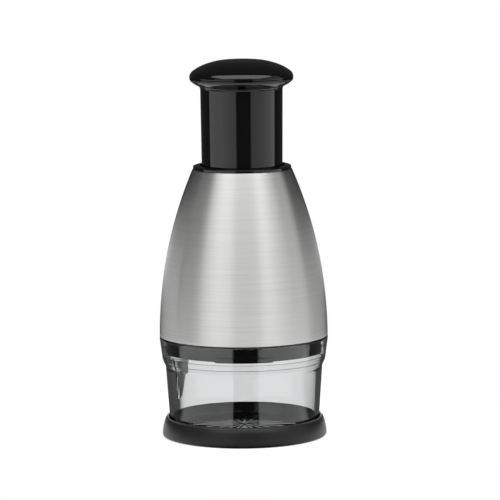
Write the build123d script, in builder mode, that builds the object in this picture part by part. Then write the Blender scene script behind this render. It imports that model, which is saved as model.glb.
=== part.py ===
"""Plunger food chopper: a knob pressed down against a spring drives a zigzag blade
through a slotted wiper disc into a clear cup that stands in a round base.

Millimetres. +Z is up the plunger's axis, the origin is on the table at the axis, and
the front of the chopper is -Y.
"""
import os
from math import pi, radians, sin, sqrt

from build123d import *

# ------------------------------------------------------------ driving dimensions
plunger_stroke = 46.5
fit_gap = 0.3                   # between parts of different bodies
lug_count = 3
lug_arc = 42.0                  # degrees that each bayonet lug or ledge spans
front_angle = -90.0             # polar angle of the front
between_angle = front_angle + 180 / lug_count

# Base
base_radius = 49.7
base_height = 12.2
base_bulge = 0.55               # how far the skirt has drawn in at half height
base_shoulder = 2.0             # how far it has drawn in at the top
foot_inner_radius = 41.0
foot_rounding = 1.8
foot_turn = 60                  # degrees that the foot's rounding turns through
tray_bottom = 1.0
tray_floor = 2.2
tray_bore_radius = 46.0
tray_radius = 47.0
rim_rounding = 0.5
disc_radius = 41.8
disc_edge_height = 5.7
disc_crown_height = 6.0
disc_groove_radius = 33.0
disc_groove_width = 0.8
disc_groove_depth = 0.6
disc_rib_count = 20
disc_rib_start = 4.0
disc_rib_end = 31.0
disc_rib_start_width = 0.6
disc_rib_end_width = 3.4
disc_rib_height = 0.5
gate_mark_radius = 1.0
gate_mark_depth = 0.4

# Cup: outer radii, with the wall inside them
cup_foot = tray_floor + 0.05
cup_foot_radius = 44.65
cup_waist = 42.0                # height where the shoulder starts
cup_waist_radius = 47.3
cup_shoulder = 47.4             # height where the shoulder ends
cup_shoulder_radius = 49.25
cup_step = 49.8                 # height of the inner step under the lugs
cup_step_radius = 46.7
cup_rim = 60.2
cup_rim_radius = 50.95
cup_wall = 2.1
cup_rim_rounding = 0.4
cup_rib_angle = front_angle - 60
cup_rib_width = 2.4
cup_rib_root = 44.9             # radius inside the wall where the rib's foot is rooted
cup_rib_edge = [(38.5, 50.9), (38.55, 42.7), (40.5, 40.5), (42.3, 29.0), (43.0, 25.8)]
cup_ledge_bottom = 53.8
cup_ledge_thickness = 1.2
cup_ledge_radius = 46.9

# Lower ring and wiper
ring_bottom = 51.75
ring_flange_bottom = 60.5
ring_flange_top = 61.2
ring_flange_radius = 50.75
ring_top = 66.0
ring_web = 1.3
ring_bore_radius = 44.6
ring_skirt_radius = 46.4
ring_collar_radius = 49.9
ring_collar_bore = 47.6
lug_bottom = 51.2
lug_top = 53.4
lug_radius = 47.7
ledge_radius = 42.3
ledge_thickness = 1.0
retainer_bottom = 52.9
retainer_thickness = 0.8
wiper_bottom = 52.6
wiper_neck = 1.4
wiper_thickness = 3.0
wiper_radius = 43.9
wiper_neck_radius = 41.9
wiper_top = wiper_bottom + wiper_thickness
ledge_bottom = wiper_top + fit_gap

# Screws
ear_radius = 2.6
ear_circle = 43.4
screw_radius = 1.25
screw_clearance_radius = 1.6
screw_pilot_radius = 1.3
screw_head_radius = 2.0
screw_head_height = 1.6
screw_length = 14.0
head_recess_radius = 2.3
ring_screw_seat = 59.5
deck_screw_circle = 37.0
deck_boss_radius = 3.2
ring_boss_height = 18.0

# Bell: one long arc of revolution that the steel and the hood share
bell_bottom = 61.3
bell_top = 162.4
bell_arc_radius = 259.15
bell_arc_centre = -208.35       # radius coordinate of the arc's centre
bell_arc_height = 60.31         # height of the arc's centre
bell_crease = 0.5               # rounding where the bell turns in at the top
steel_thickness = 0.7
steel_hole_radius = 28.1
hood_inset = 0.9                # steel and gap outside the hood
hood_wall = 1.8
hood_bottom = ring_top + 0.05
hood_top = 161.6
hood_neck = 156.0
hood_neck_radius = 28.05

# Deck, spring and bumper
deck_bottom = 108.3
deck_top = 110.5
deck_radius = 42.3
deck_sleeve_radius = 7.2
deck_sleeve_top = 126.0
rod_bush_radius = 5.0
rod_bush_top = 124.0
rod_bush_flange_radius = 7.0
rod_bush_flange = 0.5
spring_radius = 13.0
spring_wire_radius = 0.9
spring_turns = 11
spring_cup_bore = 15.0
spring_cup_radius = 16.6
spring_cup_depth = 2.5
bumper_inner_radius = 21.4
bumper_outer_radius = 25.6
bumper_groove = 0.7
bumper_height = 1.5

# Collar and tube
collar_bottom = 155.0
collar_rim = 164.05
collar_top = 164.8
collar_radius = 29.55
collar_bore_radius = 26.2
collar_lip_radius = 25.6        # lip above the bush
collar_spigot_radius = 28.0
collar_rounding = 0.35
bush_bottom = 160.2
bush_top = 163.3
bush_bore_radius = 25.1
tube_bottom = deck_top + 1.0 + plunger_stroke
tube_top = 210.7
tube_foot_radius = 24.3
tube_head_radius = 24.77
tube_bore_radius = 22.1
tube_flange_radius = 25.85
tube_flange_thickness = 2.0
tube_web = 2.6

# Knob
knob_radius = 31.3
knob_neck_radius = 25.1
knob_neck = 211.5
knob_bowl_middle = (28.4, 213.6)
knob_parting = 217.2
knob_seam = 0.2
knob_top = 228.15
dome_points = [(28.1, 222.1), (20.5, 225.68), (13.5, 227.38)]
dome_hollow = (17.0, 223.6)
dome_hollow_edge = 219.0
knob_floor = 213.0
knob_wall = 2.4
knob_lip_radius = 28.6
knob_spigot_bottom = 215.9
knob_spigot_radius = 27.2
knob_spigot_bore = 26.0

# Blade carrier, crowns and blade
carrier_bottom = wiper_top + fit_gap + plunger_stroke
carrier_top = carrier_bottom + 3.0
carrier_radius = 40.0
carrier_rim_rounding = 1.0
hub_radius = 8.6
hub_top = carrier_bottom + 3.6
hub_web_bottom = carrier_bottom + 1.6
hub_recess_radius = 6.0
pocket_floor = carrier_bottom + 1.0
pocket_radius = 13.9
crown_inner_radius = 9.0
crown_outer_radius = 13.0
crown_root = pocket_floor + 1.2  # root of the rotor crown's teeth
tooth_count = 12
tooth_height = 1.5
tooth_fill = 0.96               # share of its pitch that a tooth takes
tooth_foot = 0.2
blade_thickness = 0.8
blade_tip = wiper_bottom + 0.9
blade_top = carrier_top - 0.6
blade_notch_radius = 14.2
blade_half_length = 33.0
blade_half_width = 13.0
blade_folds = 6
blade_bend_radius = 1.2
slot_clearance = 0.4

# Rod and its fastenings
rod_radius = 3.0
rod_bore_radius = 3.06
rod_bottom = carrier_bottom + 0.3
rod_shoulder = 205.0
rod_top = 220.0
thread_radius = 2.5
thread_hole_radius = 2.6
rod_collar_radius = 5.5
rod_collar_bottom = hub_top + 0.1
rod_collar_top = rod_collar_bottom + 1.5
clip_groove_radius = 2.3
clip_bottom = hub_web_bottom - 1.0
clip_thickness = 0.8
clip_radius = 4.4
clip_gap = 2.6
washer_radius = 5.5
washer_thickness = 1.0
nut_width = 8.0
nut_height = 4.0


# ------------------------------------------------------------ shared profiles
def turned(*points):
    """Closed face of (radius, height) points, ready to be revolved about Z."""
    with BuildSketch(Plane.XZ) as outline:
        with BuildLine():
            Polyline(*points, close=True)
        make_face()
    return outline.sketch


def annulus(inner_radius, outer_radius, height):
    """Flat ring at a height."""
    with BuildSketch(Plane.XY.offset(height)) as face:
        Circle(outer_radius)
        Circle(inner_radius, mode=Mode.SUBTRACT)
    return face.sketch


def circle_of_holes(radius, circle_radius, height):
    """Discs on a circle, one between each pair of bayonet lugs."""
    with BuildSketch(Plane.XY.offset(height)) as face:
        with PolarLocations(circle_radius, lug_count, start_angle=between_angle):
            Circle(radius)
    return face.sketch


def bell_point(height, inset=0.0):
    """Point (radius, height) on the bell's arc, set in by a wall thickness."""
    rise = height - bell_arc_height
    return (bell_arc_centre + sqrt((bell_arc_radius - inset) ** 2 - rise**2), height)


def bell_arc(low, high, inset=0.0):
    """The bell's arc between two heights, for a BuildLine block."""
    return ThreePointArc(*(bell_point(h, inset) for h in (low, (low + high) / 2, high)))


def zigzag(overrun=0.0):
    """Fold line of the blade seen from above, for a BuildLine block."""
    pitch = 2 * blade_half_length / blade_folds
    corners = []
    for fold in range(blade_folds + 1):
        side = blade_half_width if fold % 2 == 0 else -blade_half_width
        corners.append(Vector(fold * pitch - blade_half_length, side))
    corners[0] += (corners[0] - corners[1]).normalized() * overrun
    corners[-1] += (corners[-1] - corners[-2]).normalized() * overrun
    return FilletPolyline(*corners, radius=blade_bend_radius)


# ------------------------------------------------------------ base
with BuildPart() as base_grip:
    skirt_top = base_height - 0.8
    shoulder_point = (base_radius - base_shoulder, skirt_top - 0.3)
    foot_radius = base_radius - foot_rounding * sin(radians(foot_turn))
    with BuildSketch(Plane.XZ):
        with BuildLine():
            Polyline((tray_radius, skirt_top), (tray_radius, tray_bottom),
                     (foot_inner_radius, tray_bottom), (foot_inner_radius, 0), (foot_radius, 0))
            foot = JernArc((foot_radius, 0), (1, 0), foot_rounding, foot_turn)
            ThreePointArc(foot @ 1, (base_radius - base_bulge, base_height / 2), shoulder_point)
            Line(shoulder_point, (tray_radius, skirt_top))
        make_face()
    revolve(axis=Axis.Z)

with BuildPart() as base_tray:
    rim_start = base_height - rim_rounding
    with BuildSketch(Plane.XZ):
        with BuildLine():
            Polyline((tray_bore_radius, rim_start), (tray_bore_radius, tray_floor),
                     (0, tray_floor), (0, tray_bottom), (tray_radius, tray_bottom),
                     (tray_radius, rim_start))
            ThreePointArc((tray_radius, rim_start), (tray_radius - rim_rounding, base_height),
                          (tray_bore_radius, rim_start))
        make_face()
    revolve(axis=Axis.Z)

with BuildPart() as disc_rib:
    with BuildSketch(Plane.XY.offset(tray_floor)):
        Polygon((disc_rib_start, disc_rib_start_width / 2),
                (disc_rib_start, -disc_rib_start_width / 2),
                (disc_rib_end, -disc_rib_end_width / 2),
                (disc_rib_end, disc_rib_end_width / 2), align=None)
    extrude(amount=disc_crown_height + disc_rib_height - tray_floor)

with BuildPart() as chopping_disc:
    dome_drop = disc_crown_height - disc_edge_height
    with BuildSketch(Plane.XZ):
        with BuildLine():
            ThreePointArc((disc_radius, disc_edge_height),
                          (disc_radius / 2, disc_crown_height - dome_drop / 4),
                          (0, disc_crown_height))
            Polyline((0, disc_crown_height), (0, tray_floor), (disc_radius, tray_floor),
                     (disc_radius, disc_edge_height))
        make_face()
    revolve(axis=Axis.Z)
    extrude(annulus(disc_groove_radius - disc_groove_width / 2,
                    disc_groove_radius + disc_groove_width / 2,
                    disc_edge_height - disc_groove_depth),
            amount=disc_groove_depth + dome_drop, mode=Mode.SUBTRACT)
    with PolarLocations(0, disc_rib_count):
        add(disc_rib.part)
    with BuildSketch(Plane.XY.offset(disc_crown_height - gate_mark_depth)):
        Circle(gate_mark_radius)
    extrude(amount=1, mode=Mode.SUBTRACT)

# ------------------------------------------------------------ cup
with BuildPart() as cup_rib:
    root_radius = cup_waist_radius - cup_wall / 2
    rib_shoulder_radius = cup_step_radius + 0.7
    with BuildSketch(Plane.XZ):
        with BuildLine():
            Polyline((rib_shoulder_radius + 1.1, cup_rib_edge[0][1]), *cup_rib_edge,
                     (cup_rib_root, cup_rib_edge[-1][1]), (root_radius, cup_waist),
                     (rib_shoulder_radius, cup_shoulder), close=True)
        make_face()
    extrude(amount=cup_rib_width / 2, both=True)

with BuildPart() as cup_ledge:
    ledge_root = cup_rim_radius - cup_wall
    ledge_top = cup_ledge_bottom + cup_ledge_thickness
    revolve(turned((cup_ledge_radius, cup_ledge_bottom), (ledge_root, cup_ledge_bottom),
                   (ledge_root, ledge_top), (cup_ledge_radius, ledge_top)),
            axis=Axis.Z, revolution_arc=lug_arc)

with BuildPart() as chopping_cup:
    shoulder_top = (cup_shoulder_radius, cup_shoulder)
    waist_point = (cup_waist_radius, cup_waist)
    with BuildSketch(Plane.XZ):
        with BuildLine():
            Polyline(waist_point, (cup_foot_radius, cup_foot),
                     (cup_foot_radius - cup_wall, cup_foot),
                     (cup_waist_radius - cup_wall, cup_waist),
                     (cup_step_radius, cup_shoulder - 0.9), (cup_step_radius, cup_step),
                     (cup_step_radius + 1.4, cup_step), (cup_rim_radius - cup_wall, cup_rim),
                     (cup_rim_radius, cup_rim), shoulder_top)
            Spline(shoulder_top, waist_point, tangents=[(-0.2, -1), (-0.07, -1)],
                   tangent_scalars=[0.8, 1.2])
        make_face()
    revolve(axis=Axis.Z)
    fillet(chopping_cup.faces().sort_by(Axis.Z)[-1].edges(), cup_rim_rounding)
    add(cup_rib.part, rotation=(0, 0, cup_rib_angle))
    with PolarLocations(0, lug_count, start_angle=front_angle - lug_arc / 2):
        add(cup_ledge.part)

# ------------------------------------------------------------ lower ring and wiper
with BuildPart() as ring_lug:
    lug_root = (ring_bore_radius + ring_skirt_radius) / 2
    revolve(turned((lug_root, lug_bottom), (lug_radius, lug_bottom), (lug_radius, lug_top),
                   (lug_root, lug_top)), axis=Axis.Z, revolution_arc=lug_arc)

with BuildPart() as lower_ring:
    web_top = ring_flange_top + ring_web
    ledge_top = ledge_bottom + ledge_thickness
    revolve(turned((ring_bore_radius, ring_bottom), (ring_skirt_radius, ring_bottom),
                   (ring_skirt_radius, ring_flange_bottom),
                   (ring_flange_radius, ring_flange_bottom),
                   (ring_flange_radius, ring_flange_top), (ring_collar_radius, ring_flange_top),
                   (ring_collar_radius, ring_top), (ring_collar_bore, ring_top),
                   (ring_collar_bore, web_top), (ring_bore_radius, web_top),
                   (ring_bore_radius, ledge_top), (ledge_radius, ledge_top),
                   (ledge_radius, ledge_bottom), (ring_bore_radius, ledge_bottom)), axis=Axis.Z)
    with PolarLocations(0, lug_count, start_angle=front_angle - lug_arc / 2):
        add(ring_lug.part)
    extrude(circle_of_holes(ear_radius, ear_circle, ledge_bottom), amount=ring_top - ledge_bottom)
    extrude(circle_of_holes(screw_clearance_radius, ear_circle, ledge_bottom),
            amount=ring_top - ledge_bottom, mode=Mode.SUBTRACT)
    extrude(circle_of_holes(head_recess_radius, ear_circle, ledge_bottom),
            amount=ring_screw_seat - ledge_bottom, mode=Mode.SUBTRACT)

with BuildPart() as wiper_retainer:
    extrude(annulus(ledge_radius, ring_bore_radius, retainer_bottom), amount=retainer_thickness)

with BuildPart() as wiper_disc:
    neck_top = wiper_bottom + wiper_neck
    revolve(turned((0, wiper_bottom), (wiper_neck_radius, wiper_bottom),
                   (wiper_neck_radius, neck_top), (wiper_radius, neck_top),
                   (wiper_radius, wiper_top), (0, wiper_top)), axis=Axis.Z)
    with BuildSketch(Plane.XY.offset(wiper_bottom)):
        with BuildLine():
            zigzag(overrun=blade_thickness)
        trace(line_width=blade_thickness + 2 * slot_clearance)
    extrude(amount=wiper_thickness, mode=Mode.SUBTRACT)

# ------------------------------------------------------------ screws
with BuildPart() as pan_screw:
    Cylinder(screw_radius, screw_length, align=(Align.CENTER, Align.CENTER, Align.MIN))
    Cylinder(screw_head_radius, screw_head_height,
             align=(Align.CENTER, Align.CENTER, Align.MAX))
    fillet(pan_screw.faces().sort_by(Axis.Z)[0].edges(), screw_head_height / 3)
    with Locations((0, 0, -screw_head_height)):
        Box(1.4 * screw_head_radius, 0.35 * screw_head_radius, screw_head_height,
            mode=Mode.SUBTRACT)
        Box(0.35 * screw_head_radius, 1.4 * screw_head_radius, screw_head_height,
            mode=Mode.SUBTRACT)

with BuildPart() as ring_screws:
    with Locations((0, 0, ring_screw_seat)):
        with PolarLocations(ear_circle, lug_count, start_angle=between_angle):
            add(pan_screw.part)

with BuildPart() as deck_screws:
    with Locations((0, 0, deck_bottom)):
        with PolarLocations(deck_screw_circle, lug_count, start_angle=between_angle):
            add(pan_screw.part)

# ------------------------------------------------------------ steel and hood
with BuildPart() as steel_shell:
    crease_start = bell_point(bell_top - bell_crease)
    flange_bottom = bell_top - steel_thickness
    with BuildSketch(Plane.XZ):
        with BuildLine():
            bell_arc(bell_bottom, bell_top - bell_crease)
            Line(crease_start, (crease_start[0] - bell_crease, bell_top))
            Polyline((crease_start[0] - bell_crease, bell_top), (steel_hole_radius, bell_top),
                     (steel_hole_radius, flange_bottom), bell_point(flange_bottom, steel_thickness))
            bell_arc(bell_bottom, flange_bottom, steel_thickness)
            Line(bell_point(bell_bottom), bell_point(bell_bottom, steel_thickness))
        make_face()
    revolve(axis=Axis.Z)

with BuildPart() as hood_bosses:
    with Locations((0, 0, ring_top)):
        with PolarLocations(ear_circle, lug_count, start_angle=between_angle):
            Cylinder(ear_radius, ring_boss_height,
                     align=(Align.CENTER, Align.CENTER, Align.MIN))
            Box(3 * ear_radius, ear_radius, ring_boss_height,
                align=(Align.MIN, Align.CENTER, Align.MIN))
    with Locations((0, 0, deck_top)):
        with PolarLocations(deck_screw_circle, lug_count, start_angle=between_angle):
            Cylinder(deck_boss_radius, hood_top - deck_top,
                     align=(Align.CENTER, Align.CENTER, Align.MIN))
    with BuildSketch(Plane.XZ):
        with BuildLine():
            bell_arc(hood_bottom, hood_top, hood_inset + hood_wall / 2)
            Polyline(bell_point(hood_top, hood_inset + hood_wall / 2), (0, hood_top),
                     (0, hood_bottom), bell_point(hood_bottom, hood_inset + hood_wall / 2))
        make_face()
    revolve(axis=Axis.Z, mode=Mode.INTERSECT)

with BuildPart() as inner_hood:
    with BuildSketch(Plane.XZ):
        with BuildLine():
            bell_arc(hood_bottom, hood_top, hood_inset)
            Polyline(bell_point(hood_top, hood_inset), (hood_neck_radius, hood_top),
                     (hood_neck_radius, hood_neck), bell_point(hood_neck, hood_inset + hood_wall))
            bell_arc(hood_bottom, hood_neck, hood_inset + hood_wall)
            Line(bell_point(hood_bottom, hood_inset),
                 bell_point(hood_bottom, hood_inset + hood_wall))
        make_face()
    revolve(axis=Axis.Z)
    add(hood_bosses.part)
    extrude(circle_of_holes(screw_pilot_radius, ear_circle, ring_top), amount=screw_length,
            mode=Mode.SUBTRACT)
    extrude(circle_of_holes(screw_pilot_radius, deck_screw_circle, deck_top),
            amount=screw_length, mode=Mode.SUBTRACT)

# ------------------------------------------------------------ deck
with BuildPart() as spring_deck:
    extrude(annulus(rod_bush_radius, deck_radius, deck_bottom), amount=deck_top - deck_bottom)
    extrude(annulus(rod_bush_radius, deck_sleeve_radius, deck_top),
            amount=deck_sleeve_top - deck_top)
    extrude(annulus(spring_cup_bore, spring_cup_radius, deck_top), amount=spring_cup_depth)
    extrude(annulus(bumper_inner_radius, bumper_outer_radius, deck_top), amount=-bumper_groove,
            mode=Mode.SUBTRACT)
    extrude(circle_of_holes(screw_clearance_radius, deck_screw_circle, deck_bottom),
            amount=deck_top - deck_bottom, mode=Mode.SUBTRACT)

with BuildPart() as stop_bumper:
    extrude(annulus(bumper_inner_radius, bumper_outer_radius, deck_top - bumper_groove),
            amount=bumper_height)

with BuildPart() as rod_bush:
    extrude(annulus(rod_bore_radius, rod_bush_radius, deck_bottom),
            amount=rod_bush_top - deck_bottom)
    extrude(annulus(rod_bore_radius, rod_bush_flange_radius, deck_bottom),
            amount=-rod_bush_flange)

with BuildPart() as return_spring:
    spring_bottom = deck_top + spring_wire_radius
    spring_height = rod_shoulder - deck_top - 2 * spring_wire_radius
    with BuildLine():
        coil = Helix(spring_height / spring_turns, spring_height, spring_radius,
                     center=(0, 0, spring_bottom))
    with BuildSketch(Plane(origin=coil @ 0, z_dir=coil % 0)):
        Circle(spring_wire_radius)
    sweep()

# ------------------------------------------------------------ collar and bush
with BuildPart() as top_collar:
    revolve(turned((collar_bore_radius, collar_bottom), (collar_spigot_radius, collar_bottom),
                   (collar_spigot_radius, bell_top), (collar_radius, bell_top),
                   (collar_radius, collar_rim), (collar_lip_radius, collar_top),
                   (collar_lip_radius, bush_top), (collar_bore_radius, bush_top)), axis=Axis.Z)
    rim_edges = top_collar.edges().filter_by(GeomType.CIRCLE).filter_by(
        lambda edge: edge.center().Z > bush_top + fit_gap)
    fillet(rim_edges, collar_rounding)

with BuildPart() as guide_bush:
    extrude(annulus(bush_bore_radius, collar_bore_radius, bush_bottom),
            amount=bush_top - bush_bottom)

# ------------------------------------------------------------ plunger
with BuildPart() as plunger_tube:
    flange_top = tube_bottom + tube_flange_thickness
    revolve(turned((tube_bore_radius, tube_bottom), (tube_flange_radius, tube_bottom),
                   (tube_flange_radius, flange_top), (tube_foot_radius, flange_top),
                   (tube_head_radius, tube_top), (thread_hole_radius, tube_top),
                   (thread_hole_radius, tube_top - tube_web),
                   (tube_bore_radius, tube_top - tube_web)), axis=Axis.Z)

with BuildPart() as spring_seat:
    seat_top = tube_top - tube_web
    extrude(annulus(thread_hole_radius, spring_cup_radius, rod_shoulder),
            amount=seat_top - rod_shoulder)
    extrude(annulus(spring_cup_bore, spring_cup_radius, rod_shoulder),
            amount=-spring_cup_depth)

with BuildPart() as knob_base:
    lip_point = (knob_radius, knob_parting)
    with BuildSketch(Plane.XZ):
        with BuildLine():
            Polyline((thread_hole_radius, knob_floor), (thread_hole_radius, tube_top),
                     (knob_neck_radius - 0.5, tube_top), (knob_neck_radius, knob_neck))
            ThreePointArc((knob_neck_radius, knob_neck), knob_bowl_middle, lip_point)
            Line(lip_point, (knob_lip_radius, knob_parting))
            ThreePointArc((knob_lip_radius, knob_parting),
                          (knob_lip_radius - 1.5, knob_parting - 2),
                          (knob_lip_radius - 4.6, knob_floor))
            Line((knob_lip_radius - 4.6, knob_floor), (thread_hole_radius, knob_floor))
        make_face()
    revolve(axis=Axis.Z)

with BuildPart() as knob_cap:
    cap_bottom = knob_parting + knob_seam
    inner_top = knob_top - knob_wall
    with BuildSketch(Plane.XZ):
        with BuildLine():
            Spline((knob_radius, cap_bottom), *dome_points, (0, knob_top),
                   tangents=[(0.05, 1), (-1, 0)])
            Line((0, knob_top), (0, inner_top))
            ThreePointArc((0, inner_top), dome_hollow, (knob_spigot_bore, dome_hollow_edge))
            Polyline((knob_spigot_bore, dome_hollow_edge), (knob_spigot_bore, knob_spigot_bottom),
                     (knob_spigot_radius, knob_spigot_bottom),
                     (knob_lip_radius - fit_gap, cap_bottom), (knob_radius, cap_bottom))
        make_face()
    revolve(axis=Axis.Z)

with BuildPart() as plunger_rod:
    clip_top = clip_bottom + clip_thickness
    revolve(turned((0, rod_bottom), (rod_radius, rod_bottom), (rod_radius, clip_bottom),
                   (clip_groove_radius, clip_bottom), (clip_groove_radius, clip_top),
                   (rod_radius, clip_top), (rod_radius, rod_collar_bottom),
                   (rod_collar_radius, rod_collar_bottom), (rod_collar_radius, rod_collar_top),
                   (rod_radius, rod_collar_top), (rod_radius, rod_shoulder),
                   (thread_radius, rod_shoulder), (thread_radius, rod_top), (0, rod_top)),
            axis=Axis.Z)

with BuildPart() as rod_clip:
    extrude(annulus(clip_groove_radius, clip_radius, clip_bottom), amount=clip_thickness)
    with Locations((0, -clip_radius, clip_bottom)):
        Box(clip_gap, 2 * clip_radius, 2 * clip_thickness, mode=Mode.SUBTRACT)

with BuildPart() as rod_washer:
    extrude(annulus(thread_hole_radius, washer_radius, knob_floor), amount=washer_thickness)

with BuildPart() as rod_nut:
    with BuildSketch(Plane.XY.offset(knob_floor + washer_thickness)):
        RegularPolygon(nut_width / 2, 6, major_radius=False)
        Circle(thread_radius, mode=Mode.SUBTRACT)
    extrude(amount=nut_height)

# ------------------------------------------------------------ crowns, blade and carrier
with BuildPart() as saw_tooth:
    for tooth_radius in (crown_inner_radius, crown_outer_radius):
        half_width = tooth_radius * pi / tooth_count * tooth_fill
        with BuildSketch(Plane.YZ.offset(tooth_radius)):
            with BuildLine():
                Polyline((-half_width, -tooth_foot), (half_width, -tooth_foot),
                         (half_width, tooth_height), (-half_width, 0), close=True)
            make_face()
    loft()

with BuildPart() as rotor_crown:
    extrude(annulus(crown_inner_radius, crown_outer_radius, pocket_floor),
            amount=crown_root - pocket_floor)
    with Locations((0, 0, crown_root)):
        with PolarLocations(0, tooth_count):
            add(saw_tooth.part)

with BuildPart() as index_crown:
    index_root = crown_root + tooth_height + fit_gap
    extrude(annulus(crown_inner_radius, crown_outer_radius, index_root),
            amount=deck_bottom - index_root)
    with Locations((0, 0, index_root)):
        with PolarLocations(0, tooth_count):
            add(saw_tooth.part, rotation=(180, 0, 0))

with BuildPart() as zigzag_blade:
    with BuildSketch(Plane.XY.offset(blade_tip)):
        with BuildLine():
            zigzag()
        trace(line_width=blade_thickness)
    extrude(amount=blade_top - blade_tip)
    with BuildSketch(Plane.XY.offset(pocket_floor)):
        Circle(blade_notch_radius)
    extrude(amount=blade_top - pocket_floor, mode=Mode.SUBTRACT)

with BuildPart() as blade_carrier:
    revolve(turned((rod_bore_radius, hub_top), (rod_bore_radius, hub_web_bottom),
                   (hub_recess_radius, hub_web_bottom), (hub_recess_radius, carrier_bottom),
                   (carrier_radius, carrier_bottom),
                   (carrier_radius, carrier_top - carrier_rim_rounding),
                   (carrier_radius - carrier_rim_rounding, carrier_top),
                   (pocket_radius, carrier_top), (pocket_radius, pocket_floor),
                   (hub_radius, pocket_floor), (hub_radius, hub_top)), axis=Axis.Z)
    add(zigzag_blade.part, mode=Mode.SUBTRACT)

# ------------------------------------------------------------ export
pieces = {
    "base_grip": base_grip, "base_tray": base_tray, "chopping_disc": chopping_disc,
    "chopping_cup": chopping_cup,
    "lower_ring": lower_ring, "wiper_retainer": wiper_retainer, "ring_screws": ring_screws,
    "steel_shell": steel_shell, "inner_hood": inner_hood, "spring_deck": spring_deck,
    "deck_screws": deck_screws, "rod_bush": rod_bush, "index_crown": index_crown,
    "stop_bumper": stop_bumper, "top_collar": top_collar, "guide_bush": guide_bush,
    "return_spring": return_spring,
    "knob_cap": knob_cap, "knob_base": knob_base, "plunger_tube": plunger_tube,
    "plunger_rod": plunger_rod, "rod_washer": rod_washer, "rod_nut": rod_nut,
    "spring_seat": spring_seat, "rod_clip": rod_clip,
    "blade_carrier": blade_carrier, "rotor_crown": rotor_crown, "zigzag_blade": zigzag_blade,
    "wiper_disc": wiper_disc,
}
os.makedirs("parts", exist_ok=True)
for name, piece in pieces.items():
    piece.part.label = name
    export_step(piece.part, f"parts/{name}.step")
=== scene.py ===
import math

import bmesh
import bpy
from mathutils import Matrix, Vector
from mathutils.geometry import interpolate_bezier


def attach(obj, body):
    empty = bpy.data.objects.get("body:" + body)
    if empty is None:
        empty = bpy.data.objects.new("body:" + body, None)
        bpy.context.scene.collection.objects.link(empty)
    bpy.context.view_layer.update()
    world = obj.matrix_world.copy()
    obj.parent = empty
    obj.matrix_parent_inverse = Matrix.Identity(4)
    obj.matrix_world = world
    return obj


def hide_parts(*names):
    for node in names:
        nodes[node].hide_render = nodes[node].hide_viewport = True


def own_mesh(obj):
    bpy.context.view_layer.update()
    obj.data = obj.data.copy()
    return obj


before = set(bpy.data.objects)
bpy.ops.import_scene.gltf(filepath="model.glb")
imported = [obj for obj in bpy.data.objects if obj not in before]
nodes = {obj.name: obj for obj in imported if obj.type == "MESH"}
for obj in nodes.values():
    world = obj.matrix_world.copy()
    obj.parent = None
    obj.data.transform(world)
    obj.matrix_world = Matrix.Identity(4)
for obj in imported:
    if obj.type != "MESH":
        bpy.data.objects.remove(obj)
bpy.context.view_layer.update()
scene = bpy.context.scene
mm = 0.001
print("frame loaded,", len(nodes), "nodes")


def hexColour(code):
    channels = [int(code[i:i + 2], 16) / 255 for i in (0, 2, 4)]
    linear = [c / 12.92 if c <= 0.04045 else ((c + 0.055) / 1.055) ** 2.4 for c in channels]
    return (*linear, 1.0)


# Settings are the node's properties, or only the name of its operation. Feeds go to named inputs, or
# in order where they are a tuple. Each is a plain value, a socket, or a node, which gives its first
# output.
def addNode(tree, kind, settings=None, feeds=None):
    node = tree.nodes.new(kind)
    node.location = (180 * len(tree.nodes) - 1600, 0)
    if isinstance(settings, str):
        settings = {"operation": settings}
    if isinstance(feeds, tuple):
        feeds = dict(enumerate(feeds))
    for key, value in (settings or {}).items():
        setattr(node, key, value)
    for key, value in (feeds or {}).items():
        if isinstance(value, bpy.types.Node):
            value = value.outputs[0]
        if isinstance(value, bpy.types.NodeSocket):
            tree.links.new(value, node.inputs[key])
        else:
            node.inputs[key].default_value = value
    return node


def startMaterial(name, values):
    material = bpy.data.materials.new(name)
    material.use_nodes = True
    tree = material.node_tree
    shader = tree.nodes["Principled BSDF"]
    for key, value in values.items():
        shader.inputs[key].default_value = value
    place = addNode(tree, "ShaderNodeTexCoord").outputs["Object"]
    return material, tree, shader, place


# Noise whose features are size millimetres across, stretched by three factors.
def addGrain(tree, place, size, stretch=(1, 1, 1), detail=2.0, roughness=0.5):
    spread = [1 / (size * mm * s) for s in stretch]
    mapped = addNode(tree, "ShaderNodeMapping", None, {"Vector": place, "Scale": spread})
    return addNode(tree, "ShaderNodeTexNoise", None,
                   {"Vector": mapped, "Scale": 1.0, "Detail": detail, "Roughness": roughness})


noiseRange = {"From Min": 0.3, "From Max": 0.7}  # where most of a noise pattern lies


# Colours run with one pattern, roughness with a second, and a third stands depth millimetres high.
def dress(tree, shader, tint, colours, gloss, roughness, relief, depth):
    mixed = addNode(tree, "ShaderNodeMix", {"data_type": "RGBA"},
                    {0: tint, 6: hexColour(colours[0]), 7: hexColour(colours[1])})
    rough = addNode(tree, "ShaderNodeMapRange", None,
                    {"Value": gloss, **noiseRange, "To Min": roughness[0], "To Max": roughness[1]})
    raised = addNode(tree, "ShaderNodeBump", None,
                     {"Height": relief, "Strength": 1.0, "Distance": depth * mm})
    tree.links.new(mixed.outputs[2], shader.inputs["Base Color"])
    tree.links.new(rough.outputs[0], shader.inputs["Roughness"])
    tree.links.new(raised.outputs[0], shader.inputs["Normal"])


# ABS moulded in a polished tool: a deep black that mirrors the lamps, with faint smears of
# handling in its gloss and the slight waviness of moulding in its reflections.
polishedAbs, tree, shader, place = startMaterial("polishedBlackAbs", {"IOR": 1.53})
smears = addGrain(tree, place, 14, (1, 1, 1.6), 3)
waves = addGrain(tree, place, 9, (1, 1, 1.5), 1)
dress(tree, shader, smears, ("0c0c0d", "101011"), smears, (0.05, 0.10), waves, 0.004)

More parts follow.
